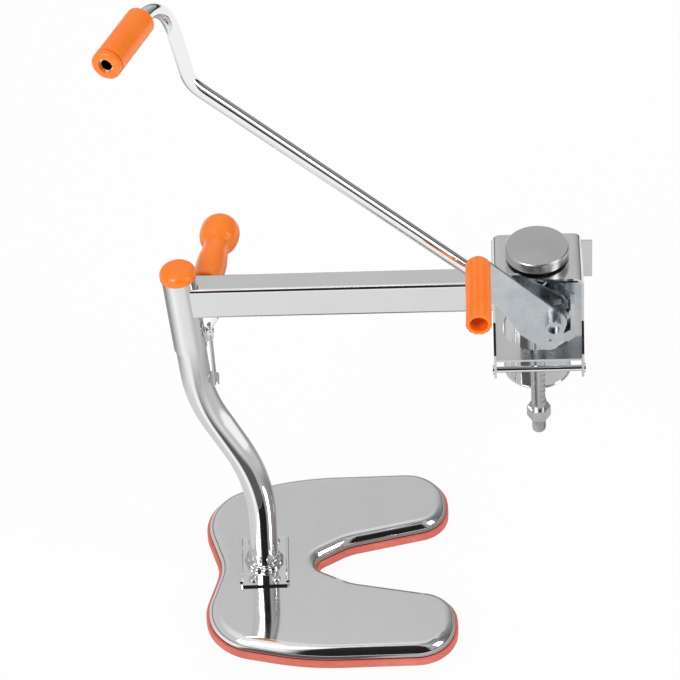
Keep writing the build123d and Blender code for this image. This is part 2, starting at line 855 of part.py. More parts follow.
with BuildPart() as ratchet_wheel:
    with BuildSketch(side_plane(lever_middle + ratchet_width / 2)):
        with BuildLine():
            corners = []
            for tooth in range(ratchet_teeth):
                start = 2 * math.pi * tooth / ratchet_teeth
                for angle, radius in ((start, ratchet_root), (start + 0.02, ratchet_radius)):
                    corners.append((shaft_x + radius * math.cos(angle), shaft_z + radius * math.sin(angle)))
            Polyline(*corners, close=True)
        make_face()
        with Locations((shaft_x, shaft_z)):
            Circle(shaft_radius, mode=Mode.SUBTRACT)
    extrude(amount=ratchet_width)
write_on_arm(ratchet_wheel.part, "ratchet_wheel")


# ---------------------------------------------------------------- lever channel

flange_circles = (
    (handle_x, handle_z, handle_end_radius),
    (shaft_x, shaft_z, lever_hub_radius + channel_corner),
    (pawl_pin_x, pawl_pin_z, lobe_radius),
    (channel_low_x, channel_low_z, channel_corner),
    (channel_mid_x, channel_mid_z, channel_corner),
)


# The far flange stops short, because it carries no handle stud
far_flange_circles = ((far_end_x, far_end_z, far_end_radius),) + flange_circles[1:]


def flange_outline(circles):
    """Rounded plate around its corner circles, with the holes for the shaft and the pawl pin."""
    make_hull([Pos(x, z) * Edge.make_circle(radius) for x, z, radius in circles])
    with Locations((shaft_x, shaft_z)):
        Circle(shaft_radius + running_gap, mode=Mode.SUBTRACT)
    with Locations((pawl_pin_x, pawl_pin_z)):
        Circle(pawl_pin_radius, mode=Mode.SUBTRACT)


channel_run = Vector(channel_low_x - channel_mid_x, 0, channel_low_z - channel_mid_z)


def web_strip(run):
    """Outline of the web's section along the lower left edge of the flanges."""
    along = Vector(run.X, run.Z).normalized()
    inward = Vector(-along.Y, along.X)
    outer = Vector(channel_mid_x, channel_mid_z) - inward * (channel_corner - web_setback)
    first = outer + along * web_start
    last = outer + along * (run.length - web_setback)
    with BuildLine(mode=Mode.PRIVATE) as edge:
        Polyline(first, last, last + inward * lever_sheet, first + inward * lever_sheet, close=True)
    make_face(edge.edges())


with BuildPart() as lever_channel:
    with BuildSketch(side_plane(-lever_front + lever_sheet)):
        flange_outline(flange_circles)
    extrude(amount=lever_sheet)
    with BuildSketch(side_plane(-lever_back)):
        flange_outline(far_flange_circles)
    extrude(amount=lever_sheet)
    with BuildSketch(side_plane(-lever_back - web_setback)):
        web_strip(channel_run)
    extrude(amount=lever_front - lever_back - 2 * web_setback)
    with BuildSketch(side_plane(-lever_front + lever_sheet / 2)):
        with Locations((shaft_x, shaft_z)):
            Circle(lever_hub_radius)
            Circle(shaft_radius + running_gap, mode=Mode.SUBTRACT)
    extrude(amount=lever_hub_length + lever_sheet / 2)
write_on_arm(lever_channel.part, "lever_channel")

with BuildPart() as pawl_pin:
    with BuildSketch(side_plane(-lever_back + 1.5)):
        with Locations((pawl_pin_x, pawl_pin_z)):
            Circle(pawl_pin_radius)
    extrude(amount=lever_front - lever_back + 3)
write_on_arm(pawl_pin.part, "pawl_pin")

pawl_tip_x = shaft_x + (ratchet_radius + pawl_gap) * math.cos(math.radians(pawl_tip_angle))
pawl_tip_z = shaft_z + (ratchet_radius + pawl_gap) * math.sin(math.radians(pawl_tip_angle))
pawl_inner_x = shaft_x + ratchet_radius + 1.0
pawl_outer_x = pawl_inner_x + pawl_thickness
with BuildPart() as drive_pawl:
    with BuildSketch(side_plane(lever_middle + pawl_width / 2)):
        with BuildLine():
            Polyline(
                (pawl_pin_x, pawl_pin_z - pawl_hub_radius),
                (pawl_outer_x - 6, pawl_pin_z - pawl_hub_radius + 1),
                (pawl_outer_x, pawl_pin_z),
                (pawl_outer_x, pawl_top_z),
                (pawl_inner_x, pawl_top_z),
                (pawl_inner_x, pawl_tip_z + 4),
                (pawl_tip_x, pawl_tip_z),
                (pawl_inner_x, pawl_tip_z - 4),
                (pawl_inner_x, pawl_pin_z + 10),
                (pawl_inner_x - 6, pawl_pin_z + pawl_hub_radius),
                (pawl_pin_x, pawl_pin_z + pawl_hub_radius),
                close=True,
            )
        make_face()
        with Locations((pawl_pin_x, pawl_pin_z)):
            Circle(pawl_hub_radius)
            Circle(pawl_pin_radius + running_gap, mode=Mode.SUBTRACT)
    extrude(amount=pawl_width)
write_on_arm(drive_pawl.part, "drive_pawl")


# ---------------------------------------------------------------- long lever

turn = math.radians(handle_turn)
socket_run = Vector(lever_bend_x - lever_start_x, 0, lever_bend_z - lever_start_z).normalized()
socket_plane = Plane((lever_start_x, lever_middle, lever_start_z), x_dir=(0, 1, 0), z_dir=socket_run)
lever_corners = (
    Vector(lever_start_x, lever_middle, lever_start_z),
    Vector(lever_bend_x, lever_middle, lever_bend_z),
    Vector(lever_top_x, lever_middle, lever_top_z),
)
handle_direction = Vector(-math.sin(turn), -math.cos(turn), 0)
lever_end = lever_corners[2] + handle_direction * handle_reach
with BuildPart() as lever_rod:
    with BuildLine() as lever_path:
        FilletPolyline(*lever_corners, lever_end, radius=[lever_bend_radius, lever_top_radius])
    with BuildSketch(Plane(lever_corners[0], z_dir=lever_corners[1] - lever_corners[0])):
        Circle(lever_tube_radius)
        Circle(lever_tube_radius - lever_tube_wall, mode=Mode.SUBTRACT)
    sweep(path=lever_path.wires()[0])
write_on_arm(lever_rod.part, "lever_rod")

with BuildPart() as lever_socket:
    with BuildSketch(socket_plane):
        Rectangle(lever_front - lever_back - 2 * lever_sheet, socket_height)
        Circle(lever_tube_radius, mode=Mode.SUBTRACT)
    extrude(amount=socket_length)
write_on_arm(lever_socket.part, "lever_socket")

with BuildPart() as lever_grip:
    grip_start = lever_end - handle_direction * (lever_grip_length - lever_grip_setback)
    grip_plane = Plane(grip_start, z_dir=handle_direction)
    with BuildSketch(grip_plane):
        Circle(lever_grip_radius)
    extrude(amount=lever_grip_length)
    fillet(lever_grip.edges().filter_by(GeomType.CIRCLE), 2.0)
    with BuildSketch(grip_plane):
        Circle(lever_tube_radius + running_gap)
    extrude(amount=lever_grip_length, mode=Mode.SUBTRACT)
    with BuildSketch(grip_plane.offset(lever_grip_length - grip_ring_length)):
        Circle(lever_grip_radius + 1)
        Circle(lever_grip_radius - grip_ring_step, mode=Mode.SUBTRACT)
    extrude(amount=1.5, mode=Mode.SUBTRACT)
write_on_arm(lever_grip.part, "lever_grip")


# ---------------------------------------------------------------- short handle

with BuildPart() as short_handle_stud:
    with BuildSketch(side_plane(-lever_front)):
        with Locations((handle_x, handle_z)):
            Circle(short_stud_radius)
    extrude(amount=short_stud_length)
    with BuildSketch(side_plane(-lever_front)):
        with Locations((handle_x, handle_z)):
            Circle(short_stud_radius + 2)
    extrude(amount=short_grip_gap - 0.5)
write_on_arm(short_handle_stud.part, "short_handle_stud")

with BuildPart() as short_grip:
    grip_back = -lever_front - short_grip_gap
    with BuildSketch(side_plane(grip_back)):
        with Locations((handle_x, handle_z)):
            Circle(short_grip_radius)
            with PolarLocations(short_grip_radius + 0.5, flute_count):
                Circle(flute_radius, mode=Mode.SUBTRACT)
    extrude(amount=short_grip_length)
    with BuildSketch(side_plane(grip_back)):
        with Locations((handle_x, handle_z)):
            Circle(short_stud_radius + running_gap)
    extrude(amount=short_grip_length, mode=Mode.SUBTRACT)
    with BuildSketch(side_plane(grip_back - short_grip_length)):
        with Locations((handle_x, handle_z)):
            Circle(short_grip_hole_radius)
    extrude(amount=-short_grip_hole_depth, mode=Mode.SUBTRACT)
write_on_arm(short_grip.part, "short_grip")


# ---------------------------------------------------------------- draw latch

latch_side = Plane(column_point(latch_z), x_dir=(math.cos(lean), 0, math.sin(lean)), z_dir=(0, -1, 0))
lever_pin = Vector(sleeve_radius + latch_pin_out, -latch_pin_drop)
link_pin = lever_pin + Vector(-link_over_centre, link_arm)
link_foot = Vector(catch_out, link_pin.Y - link_length)


def latch_layer(y):
    """The latch's side plane moved to a given y."""
    return latch_side.offset(-y)


def latch_point(place, y):
    """Point in space from a place on the latch's side plane and a y."""
    return latch_side.from_local_coords(Vector(place.X, place.Y, -y))


with BuildPart() as latch_bracket:
    for y in (-latch_ear_inner, latch_ear_inner + latch_sheet):
        with BuildSketch(latch_layer(y)):
            make_hull(
                [
                    Pos(lever_pin.X, lever_pin.Y) * Edge.make_circle(latch_ear_radius),
                    Pos(sleeve_radius - 2, lever_pin.Y - 7) * Edge.make_circle(1.0),
                    Pos(sleeve_radius - 2, lever_pin.Y + 7) * Edge.make_circle(1.0),
                ]
            )
            with Locations((lever_pin.X, lever_pin.Y)):
                Circle(latch_pin_radius, mode=Mode.SUBTRACT)
        extrude(amount=latch_sheet)
    with BuildSketch(latch_layer(latch_ear_inner)):
        with Locations((sleeve_radius, lever_pin.Y)):
            Rectangle(2 * latch_sheet, 16)
    extrude(amount=2 * latch_ear_inner)
    with BuildSketch(column_plane(seam_height)):
        Circle(sleeve_radius)
    extrude(amount=sleeve_length, mode=Mode.SUBTRACT)
write(latch_bracket.part, "latch_bracket")

with BuildPart() as latch_pin:
    with BuildSketch(latch_layer(latch_lever_inner + latch_sheet + 0.5)):
        with Locations((lever_pin.X, lever_pin.Y)):
            Circle(latch_pin_radius)
    extrude(amount=2 * (latch_lever_inner + latch_sheet + 0.5))
write(latch_pin.part, "latch_pin")

wing_root = link_pin + Vector(latch_ear_radius - latch_sheet, 0)
wing_tip = wing_root + Vector(latch_wing_out, latch_wing_rise)
with BuildPart() as latch_lever:
    for y in (-latch_lever_inner, latch_lever_inner + latch_sheet):
        with BuildSketch(latch_layer(y)):
            make_hull(
                [
                    Pos(lever_pin.X, lever_pin.Y) * Edge.make_circle(latch_ear_radius),
                    Pos(link_pin.X, link_pin.Y) * Edge.make_circle(latch_ear_radius),
                ]
            )
            with Locations((lever_pin.X, lever_pin.Y)):
                Circle(latch_pin_radius + running_gap, mode=Mode.SUBTRACT)
            with Locations((link_pin.X, link_pin.Y)):
                Circle(link_wire_radius + running_gap, mode=Mode.SUBTRACT)
        extrude(amount=latch_sheet)
    with BuildSketch(latch_layer(latch_lever_inner + latch_sheet)):
        with BuildLine():
            Polyline(
                (wing_root.X, wing_root.Y - 2),
                (wing_root.X + latch_sheet, wing_root.Y - 2),
                (wing_root.X + latch_sheet, wing_root.Y + 4),
                (wing_tip.X, wing_tip.Y),
                (wing_tip.X - latch_sheet, wing_tip.Y),
                (wing_root.X, wing_root.Y + 5),
                close=True,
            )
        make_face()
    extrude(amount=2 * (latch_lever_inner + latch_sheet))
write(latch_lever.part, "latch_lever")

with BuildPart() as latch_link:
    with BuildLine() as link_path:
        FilletPolyline(
            latch_point(link_pin, latch_lever_inner),
            latch_point(link_pin, link_spread),
            latch_point(link_foot, link_spread),
            latch_point(link_foot, -link_spread),
            latch_point(link_pin, -link_spread),
            latch_point(link_pin, -latch_lever_inner),
            radius=[link_bend, link_bend, link_bend, link_bend],
        )
    with BuildSketch(Plane(latch_point(link_pin, latch_lever_inner), z_dir=(0, 1, 0))):
        Circle(link_wire_radius)
    sweep(path=link_path.wires()[0])
write(latch_link.part, "latch_link")

with BuildPart() as column_envelope:
    with BuildSketch(Plane.XY.offset(foot_plate_top)):
        Circle(tube_radius)
    sweep(path=column_path.wires()[0])

with BuildPart() as latch_catch:
    ledge = link_foot.Y + link_wire_radius + 0.35
    lip_in = link_foot.X + link_wire_radius + 1.6
    back_out = link_foot.X - link_wire_radius - 0.8
    with BuildSketch(latch_layer(catch_half_width)):
        with BuildLine():
            Polyline(
                (tube_radius - 3, ledge + 5.5),
                (back_out, ledge + 5.5),
                (lip_in + latch_sheet, ledge + 2),
                (lip_in + latch_sheet, ledge - catch_lip),
                (lip_in, ledge - catch_lip),
                (lip_in, ledge),
                (back_out, ledge),
                (back_out, ledge - 9),
                (tube_radius - 3, ledge - 9),
                close=True,
            )
        make_face()
    extrude(amount=2 * catch_half_width)
    add(column_envelope.part, mode=Mode.SUBTRACT)
write(latch_catch.part, "latch_catch")

print("nodes", len(parts_written))
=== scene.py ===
"""Dresses the solids of the frame: finishes, small pieces, studio and camera."""

import math

import bmesh
import bpy
from mathutils import Matrix, Vector

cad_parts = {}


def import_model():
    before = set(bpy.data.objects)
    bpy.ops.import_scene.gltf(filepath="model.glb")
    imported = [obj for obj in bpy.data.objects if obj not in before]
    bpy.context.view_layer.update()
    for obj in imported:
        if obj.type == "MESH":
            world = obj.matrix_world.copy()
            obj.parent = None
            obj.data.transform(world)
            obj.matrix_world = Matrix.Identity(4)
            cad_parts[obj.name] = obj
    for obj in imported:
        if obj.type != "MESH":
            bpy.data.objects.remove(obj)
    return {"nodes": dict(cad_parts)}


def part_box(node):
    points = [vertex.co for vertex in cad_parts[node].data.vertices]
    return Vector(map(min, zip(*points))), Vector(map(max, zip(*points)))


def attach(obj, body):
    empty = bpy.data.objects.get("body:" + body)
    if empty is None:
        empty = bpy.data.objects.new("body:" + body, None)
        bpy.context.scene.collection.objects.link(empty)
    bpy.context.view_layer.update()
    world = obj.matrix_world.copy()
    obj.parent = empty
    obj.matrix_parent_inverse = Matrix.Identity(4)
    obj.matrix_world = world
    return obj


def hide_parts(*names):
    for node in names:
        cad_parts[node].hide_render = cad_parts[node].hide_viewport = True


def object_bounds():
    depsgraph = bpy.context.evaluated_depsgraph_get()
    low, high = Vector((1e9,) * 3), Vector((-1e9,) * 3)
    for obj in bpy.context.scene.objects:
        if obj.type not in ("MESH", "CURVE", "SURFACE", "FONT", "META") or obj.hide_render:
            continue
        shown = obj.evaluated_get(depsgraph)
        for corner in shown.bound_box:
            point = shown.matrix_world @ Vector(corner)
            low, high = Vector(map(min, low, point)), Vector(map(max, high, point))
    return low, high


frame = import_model()
cad_low, cad_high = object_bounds()
cad_low, cad_high = list(cad_low), list(cad_high)
nodes = frame["nodes"]
MM = 0.001

# ------------------------------------------------------------------ camera
FRAME_PIXELS = 680
SENSOR_WIDTH = 36.0
CAMERA_YAW = -0.0161699
CAMERA_PITCH = 0.7215804
CAMERA_ROLL = -0.0208531
CAMERA_LENS_PIXELS = 2600.0
CAMERA_ACROSS = -84.959
CAMERA_UP = -267.577
CAMERA_AWAY = 2954.545


def look(yaw, pitch, roll, lens_pixels, across, up, away):
    """A camera turned about the object, then moved; angles in radians, lengths in millimetres."""
    level = Vector((math.cos(yaw), math.sin(yaw), 0))
    forward = Vector(
        (
            -math.sin(yaw) * math.cos(pitch),
            math.cos(yaw) * math.cos(pitch),
            -math.sin(pitch),
        )
    )
    head = level.cross(forward)
    right = math.cos(roll) * level + math.sin(roll) * head
    top = -math.sin(roll) * level + math.cos(roll) * head
    place = -(across * right + up * top + away * forward) * MM
    data = bpy.data.cameras.new("camera")
    data.sensor_width = SENSOR_WIDTH
    data.lens = lens_pixels / FRAME_PIXELS * SENSOR_WIDTH
    data.clip_start = 0.05
    data.clip_end = 50.0
    obj = bpy.data.objects.new("camera", data)
    bpy.context.collection.objects.link(obj)
    turn = Matrix((right, top, -forward)).transposed().to_4x4()
    obj.matrix_world = Matrix.Translation(place) @ turn
    bpy.context.scene.camera = obj


look(
    CAMERA_YAW,
    CAMERA_PITCH,
    CAMERA_ROLL,
    CAMERA_LENS_PIXELS,
    CAMERA_ACROSS,
    CAMERA_UP,
    CAMERA_AWAY,
)
bpy.context.scene.view_settings.view_transform = "Standard"


# ------------------------------------------------------------------ node kit
def linear(r, g, b):
    """Screen colour, 0 to 255, as a linear one."""
    out = []
    for v in (r, g, b):
        v = v / 255
        out.append(v / 12.92 if v <= 0.04045 else ((v + 0.055) / 1.055) ** 2.4)
    return (*out, 1.0)


def rgba(colour):
    """Four numbers from a grey, or from a colour of three or four numbers."""
    if isinstance(colour, float):
        return (colour, colour, colour, 1.0)
    return colour if len(colour) == 4 else (*colour, 1.0)


def feed(tree, socket, source):
    """Links a socket to another node's output, or sets it to a value."""
    if isinstance(source, bpy.types.NodeSocket):
        tree.links.new(source, socket)
    else:
        socket.default_value = source


def wire(tree, kind, sources=(), **settings):
    """A node with its settings made and its first inputs fed."""
    n = tree.nodes.new(kind)
    for key, value in settings.items():
        setattr(n, key, value)
    for k, source in enumerate(sources):
        feed(tree, n.inputs[k], source)
    return n


def blend(tree, factor, first, second, **settings):
    """Mix of two colours, each an output or a value."""
    n = wire(tree, "ShaderNodeMix", data_type="RGBA", **settings)
    feed(tree, n.inputs["Factor"], factor)
    feed(tree, n.inputs["A"], first)
    feed(tree, n.inputs["B"], second)
    return n.outputs["Result"]


def ramp(tree, fac, stops):
    """Colour ramp from pairs of a position and a grey or a colour."""
    n = wire(tree, "ShaderNodeValToRGB", (fac,))
    elements = n.color_ramp.elements
    while len(elements) < len(stops):
        elements.new(0.5)
    for e, (position, colour) in zip(elements, stops):
        e.position = position
        e.color = rgba(colour)
    return n.outputs["Color"]


def span(tree, value, from_low, from_high, low, high):
    """Maps a value from one range to another, and holds it at the ends."""
    n = wire(tree, "ShaderNodeMapRange", (value, from_low, from_high, low, high))
    return n.outputs["Result"]


class Mat:
    """A Principled material with helpers that add nodes in the object's own space."""

    def __init__(self, name, colour, metallic=0.0, rough=0.4, **extra):
        self.material = bpy.data.materials.new(name)
        self.material.use_nodes = True
        self.tree = self.material.node_tree
        self.shader = self.tree.nodes["Principled BSDF"]
        self.shader.inputs["Base Color"].default_value = rgba(colour)
        self.shader.inputs["Metallic"].default_value = metallic
        self.shader.inputs["Roughness"].default_value = rough
        for key, value in extra.items():
            self.shader.inputs[key.replace("_", " ")].default_value = value
        self.own_space = wire(self.tree, "ShaderNodeTexCoord").outputs["Object"]
        self.normal = None

    def place(self, scale=(1, 1, 1), shift=(0, 0, 0)):
        n = wire(self.tree, "ShaderNodeMapping")
        n.inputs["Scale"].default_value = scale
        n.inputs["Location"].default_value = shift
        feed(self.tree, n.inputs["Vector"], self.own_space)
        return n.outputs["Vector"]

    def noise(self, scale, detail=4.0, rough=0.5, vector=None):
        n = wire(self.tree, "ShaderNodeTexNoise")
        n.inputs["Scale"].default_value = scale
        n.inputs["Detail"].default_value = detail
        n.inputs["Roughness"].default_value = rough
        feed(self.tree, n.inputs["Vector"], self.own_space if vector is None else vector)
        return n.outputs["Fac"]

    def ramp(self, fac, stops):
        return ramp(self.tree, fac, stops)

    def span(self, fac, low, high, from_low=0.3, from_high=0.7):
        """Brings a texture's usual range, or the one given, to low and high."""
        return span(self.tree, fac, from_low, from_high, low, high)

    def colour(self, out):
        feed(self.tree, self.shader.inputs["Base Color"], out)

    def rough(self, out):
        feed(self.tree, self.shader.inputs["Roughness"], out)

    def bump(self, fac, strength, distance):
        """Adds a bump on top of those made before; distance in metres."""
        n = wire(self.tree, "ShaderNodeBump")
        n.inputs["Strength"].default_value = strength
        n.inputs["Distance"].default_value = distance
        feed(self.tree, n.inputs["Height"], fac)
        if self.normal is not None:
            feed(self.tree, n.inputs["Normal"], self.normal)
        self.normal = n.outputs["Normal"]
        feed(self.tree, self.shader.inputs["Normal"], self.normal)

    def edge_wear(self, base, worn, reach=0.0012):
        """Mixes a worn colour in along edges, from the bevelled normal against the true one."""
        bevel = wire(self.tree, "ShaderNodeBevel", samples=4)
        bevel.inputs["Radius"].default_value = reach
        true = wire(self.tree, "ShaderNodeNewGeometry")
        pair = (bevel.outputs["Normal"], true.outputs["Normal"])
        dot = wire(self.tree, "ShaderNodeVectorMath", pair, operation="DOT_PRODUCT")
        at_edge = self.span(dot.outputs["Value"], 0.75, 0.0, from_low=0.80, from_high=0.985)
        return blend(self.tree, at_edge, base, worn)

    def painted_shade_line(self, axis, low, high, soft, shade):
        """Lays a line of painted shade over the colour, in a thin layer along an axis that fades over
        soft.
        """
        split = wire(self.tree, "ShaderNodeSeparateXYZ", (self.own_space,))
        along = split.outputs[axis]
        rise = span(self.tree, along, low - soft, low, 0.0, 1.0)
        fall = span(self.tree, along, high, high + soft, 1.0, 0.0)
        inside = wire(self.tree, "ShaderNodeMath", (rise, fall), operation="MULTIPLY")
        plain = self.shader.inputs["Base Color"].links[0].from_socket
        self.colour(blend(self.tree, inside.outputs[0], plain, shade))


# ------------------------------------------------------------------ materials
def chrome_material(name, tone, rough, wave):
    """Plated metal: a slow cloud in its tone, a faint waviness and a fine grain."""
    m = Mat(name, (tone, tone, tone * 1.01), metallic=1.0, rough=rough)
    dull = (tone * 0.95, tone * 0.955, tone * 0.965)
    clear = (tone, tone * 1.005, tone * 1.01)
    m.colour(m.ramp(m.noise(22.0, detail=3.0), [(0.25, dull), (0.75, clear)]))
    m.rough(m.span(m.noise(60.0, detail=6.0, rough=0.6), rough * 0.6, rough * 1.6))
    m.bump(m.noise(9.0, detail=2.0), strength=wave, distance=0.0001)
    m.bump(m.noise(900.0, detail=2.0), strength=0.02, distance=0.00003)
    return m


def brushed_material(name, tone, rough, scale, grain):
    """Bare metal with streaks; the scale draws them out along an axis."""
    m = Mat(name, tone, metallic=1.0, rough=rough)
    streak = m.noise(45.0, detail=5.0, rough=0.6, vector=m.place(scale))
    dark = tuple(v * 0.86 for v in tone)
    light = tuple(min(1, v * 1.06) for v in tone)
    m.colour(m.ramp(m.noise(30.0, detail=3.0), [(0.3, dark), (0.7, light)]))
    m.rough(m.span(streak, rough * 0.7, rough * 1.35))
    m.bump(streak, strength=grain, distance=0.0001)
    return m


def zinc_material(name):
    """Zinc plate: blue-grey patches, dull spots, paler edges."""
    tone = linear(204, 209, 213)
    m = Mat(name, tone, metallic=1.0, rough=0.26)
    patches = [(0.30, linear(188, 197, 204)), (0.52, tone), (0.75, linear(216, 219, 217))]
    tint = m.ramp(m.noise(38.0, detail=6.0, rough=0.62), patches)
    m.colour(m.edge_wear(tint, linear(228, 230, 230)))
    m.rough(m.span(m.noise(120.0, detail=5.0, rough=0.6), 0.17, 0.36))
    m.bump(m.noise(420.0, detail=3.0), strength=0.10, distance=0.00008)
    m.bump(m.noise(25.0, detail=2.0), strength=0.08, distance=0.0005)
    return m


def orange_material(name):
    """Moulded plastic, a little translucent, with a fine skin."""
    tone = linear(255, 132, 30)
    m = Mat(
        name,
        tone,
        rough=0.30,
        IOR=1.47,
        Subsurface_Weight=0.10,
        Subsurface_Radius=(1.0, 0.30, 0.06),
        Subsurface_Scale=0.006,
        Coat_Weight=0.12,
        Coat_Roughness=0.15,
    )
    clouds = [(0.25, linear(254, 122, 24)), (0.6, tone), (0.85, linear(255, 140, 36))]
    m.colour(m.ramp(m.noise(30.0), clouds))
    m.rough(m.span(m.noise(220.0, detail=5.0, rough=0.6), 0.24, 0.42))
    m.bump(m.noise(700.0, detail=3.0), strength=0.12, distance=0.00008)
    return m


def rubber_material(name):
    """Matt rubber with clouds of a paler and a deeper red."""
    m = Mat(name, linear(226, 122, 108), rough=0.62)
    clouds = [
        (0.25, linear(214, 108, 96)),
        (0.55, linear(228, 124, 110)),
        (0.85, linear(238, 140, 126)),
    ]
    m.colour(m.ramp(m.noise(24.0, detail=5.0, rough=0.6), clouds))
    m.rough(m.span(m.noise(90.0, detail=5.0), 0.5, 0.78))
    m.bump(m.noise(520.0), strength=0.25, distance=0.00015)
    return m


def disc_material(name):
    """Turned face: fine rings about the disc's own axis."""
    m = Mat(name, 0.60, metallic=1.0, rough=0.27)
    low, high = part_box("rack_disc")
    centre = [-(low[i] + high[i]) / 2 for i in range(3)]
    rings = wire(
        m.tree,
        "ShaderNodeTexWave",
        wave_type="RINGS",
        rings_direction="Z",
        wave_profile="SIN",
    )
    rings.inputs["Scale"].default_value = 900.0
    rings.inputs["Distortion"].default_value = 0.6
    rings.inputs["Detail"].default_value = 2.0
    feed(m.tree, rings.inputs["Vector"], m.place(shift=centre))
    m.colour(m.ramp(m.noise(14.0, detail=3.0), [(0.3, 0.56), (0.7, (0.66, 0.66, 0.655))]))
    m.rough(m.span(rings.outputs["Fac"], 0.22, 0.34, from_low=0.0, from_high=1.0))
    m.bump(rings.outputs["Fac"], strength=0.25, distance=0.00006)
    return m


chrome = chrome_material("chrome_plate", 0.90, 0.035, wave=0.10)
chrome_sheet = chrome_material("chrome_sheet", 0.86, 0.05, wave=0.05)
chrome_arm = chrome_material("chrome_arm", 0.86, 0.06, wave=0.05)
head_chrome = chrome_material("head_chrome", 0.80, 0.12, wave=0.05)
weld_metal = chrome_material("weld_metal", 0.62, 0.16, wave=0.05)
steel_rod = brushed_material("steel_rod", (0.66, 0.67, 0.68), 0.20, (1, 1, 0.12), grain=0.12)
steel_dark = brushed_material("steel_dark", (0.42, 0.43, 0.45), 0.33, (1, 1, 20), grain=0.2)
steel_screw = brushed_material("steel_screw", (0.74, 0.75, 0.76), 0.22, (1, 1, 1), grain=0.1)
steel_bush = brushed_material("bush_metal", (0.70, 0.62, 0.44), 0.30, (1, 1, 30), grain=0.2)
zinc = zinc_material("zinc_plate")
orange = orange_material("orange_plastic")
rubber = rubber_material("rubber_edge")
turned = disc_material("turned_face")

# painted shade: a near-black line on the base's chromed shell where the gap to its rubber edge lies in
# shade
BASE_LINE_LOW, BASE_LINE_HIGH, BASE_LINE_SOFT = 0.0088, 0.0102, 0.0003
BASE_LINE_SHADE = (0.015, 0.014, 0.014, 1)
chrome_sheet.painted_shade_line("Z", BASE_LINE_LOW, BASE_LINE_HIGH, BASE_LINE_SOFT, BASE_LINE_SHADE)

finish_of = {
    "base_cover": chrome_sheet,
    "base_bottom_plate": steel_dark,
    "base_edge_strip": rubber,
    "foot_plate": chrome,
    "foot_backing_plate": steel_dark,
    "foot_screws": steel_screw,
    "foot_nuts": steel_screw,
    "lower_column": chrome,
    "upper_column": chrome,
    "column_cap": orange,
    "arm": chrome_arm,
    "rear_grip": orange,
    "rear_grip_stud": steel_screw,
    "head_housing": head_chrome,
    "rack_guide_bush": steel_bush,
    "barrel_carrier": head_chrome,
    "cross_rod": chrome,
    "barrel": chrome_arm,
    "rack_rod": steel_rod,
    "rack_nut": steel_screw,
    "rack_disc": turned,
    "shaft_bracket": zinc,
    "pinion_shaft": steel_rod,
    "shaft_clip": steel_dark,
    "drive_pinion": steel_dark,
    "holding_pawl": zinc,
    "holding_pawl_pin": steel_rod,
    "holding_pawl_spring": steel_dark,
    "ratchet_wheel": steel_dark,
    "lever_channel": zinc,
    "pawl_pin": steel_rod,
    "drive_pawl": zinc,
    "lever_rod": chrome,
    "lever_socket": zinc,
    "lever_grip": orange,
    "short_handle_stud": steel_rod,
    "short_grip": orange,
    "latch_bracket": steel_screw,
    "latch_pin": steel_screw,
    "latch_lever": chrome,
    "latch_link": steel_screw,
    "latch_catch": steel_screw,
}
for name, obj in nodes.items():
    obj.data.materials.clear()
    obj.data.materials.append(finish_of[name].material)


# ------------------------------------------------------------------ piece kit
MERGE_DISTANCE = 1e-7


def piece(name, bm, body, finish, smooth):
    """Turns a bmesh into a named object that rides on a body; smooth is an angle in degrees."""
    bmesh.ops.remove_doubles(bm, verts=bm.verts, dist=MERGE_DISTANCE)
    bmesh.ops.recalc_face_normals(bm, faces=bm.faces)
    mesh = bpy.data.meshes.new(name)
    bm.to_mesh(mesh)
    bm.free()
    mesh.polygons.foreach_set("use_smooth", [True] * len(mesh.polygons))
    mesh.set_sharp_from_angle(angle=math.radians(smooth))
    mesh.materials.append(finish.material)
    obj = bpy.data.objects.new(name, mesh)
    bpy.context.collection.objects.link(obj)
    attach(obj, body)
    return obj


def ring(bm, m, radius_at, z, count):
    """Vertices round the z axis of a frame; the radius is a function of the angle."""
    row = []
    for k in range(count):
        a = 2 * math.pi * k / count
        r = radius_at(a)
        row.append(bm.verts.new(m @ Vector((r * math.cos(a), r * math.sin(a), z))))
    return row


def same_radius(r):
    return lambda a: r


def skin(bm, rings, closed=False):
    """Faces from ring to ring, and either back to the first ring or over both ends."""
    pairs = list(zip(rings, rings[1:]))
    if closed:
        pairs.append((rings[-1], rings[0]))
    for a, b in pairs:
        n = len(a)
        for k in range(n):
            bm.faces.new((a[k], a[(k + 1) % n], b[(k + 1) % n], b[k]))
    if not closed:
        bm.faces.new(rings[0])
        bm.faces.new(rings[-1])


# ------------------------------------------------------------------ where the arm's pieces are
COLUMN_LEAN = math.radians(4.6)
ARM_SWING = math.radians(-3.5)
ARM_RISE = math.radians(-2.5)
ARM_ROOT = Vector((-71.062, 0, 414)) * MM
ARM_MOVE = Vector((1.9, 0, 4.2)) * MM
COLUMN_AXIS = Vector((-math.sin(COLUMN_LEAN), 0, math.cos(COLUMN_LEAN)))
ARM_TURN = Matrix.Rotation(ARM_SWING, 3, COLUMN_AXIS) @ Matrix.Rotation(ARM_RISE, 3, "Y")


def on_arm(x, y, z):
    """Point on the turned arm from millimetres on the level one."""
    return ARM_TURN @ (Vector((x, y, z)) * MM - ARM_ROOT) + ARM_ROOT + ARM_MOVE


def upright_on_arm(origin):
    """Frame at a point with its z up the turned arm, and its x as near the world's as can be."""
    z = (ARM_TURN @ Vector((0, 0, 1))).normalized()
    level = Vector((1, 0, 0))
    x = (level - level.dot(z) * z).normalized()
    turn = Matrix((x, z.cross(x), z)).transposed().to_4x4()
    return Matrix.Translation(origin) @ turn


# ------------------------------------------------------------------ pieces too small for the solids
PLATE_TOP = 25.0
SCREW_X, SCREW_Y = 13.0, 29.0
SCREW_CORNERS = ((-1, -1), (1, -1), (1, 1), (-1, 1))
SCREW_FIRST_TURN, SCREW_NEXT_TURN = 0.5, 1.3


